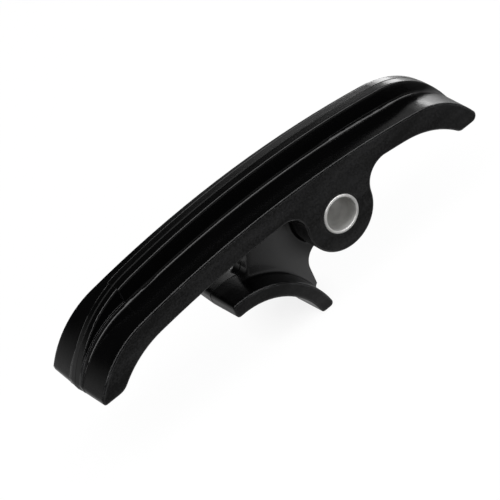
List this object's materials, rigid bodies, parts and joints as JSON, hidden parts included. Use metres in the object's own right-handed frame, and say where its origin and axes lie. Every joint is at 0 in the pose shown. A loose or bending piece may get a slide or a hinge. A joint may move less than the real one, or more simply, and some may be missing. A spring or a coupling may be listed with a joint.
{
  "type": "motorcycle chain guide",
  "caption": "Arched black plastic chain slider with a centre rib, a steel-bushed bolt lug and a half-round saddle that sits on the frame tube below it.",
  "frame": {"origin": "middle of the bolt axis, half way across the guide", "axes": "+X along the running shoe towards its short end, +Y along the bolt across the guide, +Z out of the running face"},
  "size_m": [0.1417, 0.0288, 0.0496],
  "materials": {
    "moulded_plastic": "black, moulded, satin to glossy",
    "bush_steel": "turned bright steel"
  },
  "bodies": {
    "root": {"guide_body": "moulded_plastic", "mounting_bush": "bush_steel"}
  },
  "joints": []
}
